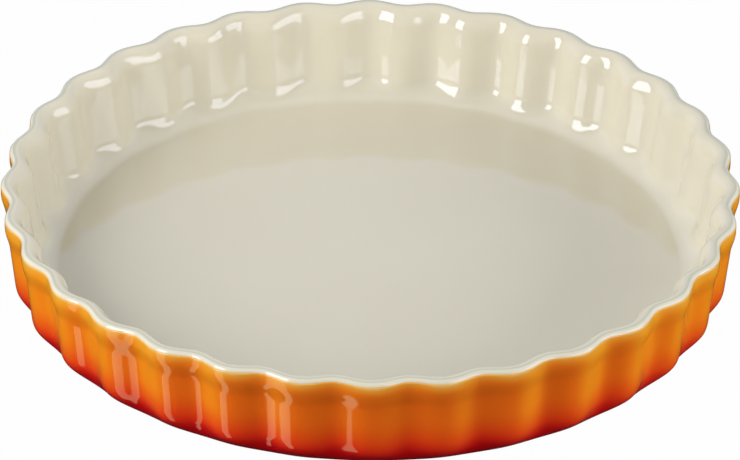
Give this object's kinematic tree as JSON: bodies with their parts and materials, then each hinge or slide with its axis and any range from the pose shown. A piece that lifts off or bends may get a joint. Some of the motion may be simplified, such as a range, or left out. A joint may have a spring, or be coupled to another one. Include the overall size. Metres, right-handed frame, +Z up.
{
  "type": "tart dish",
  "caption": "Round fluted stoneware tart dish, cream glazed inside and over the rim, graded orange to red outside, for baking and serving tarts, quiches and flans.",
  "frame": {"origin": "on the table, under the middle of the dish", "axes": "+Z up along the dish's axis, -Y towards the viewer with a flute crest facing it, +X to the viewer's right"},
  "size_m": [0.2824, 0.2824, 0.0423],
  "materials": {
    "clay": "bare fired stoneware, matt, fine grit",
    "cream_glaze": "glossy opaque cream glaze",
    "graded_glaze": "glossy glaze, orange under the rim, sprayed red towards the foot",
    "red_glaze": "glossy deep red glaze on the underside"
  },
  "bodies": {
    "root": {"stoneware_body": "clay", "inner_glaze": "cream_glaze", "outer_glaze": "graded_glaze", "base_glaze": "red_glaze"}
  },
  "joints": []
}
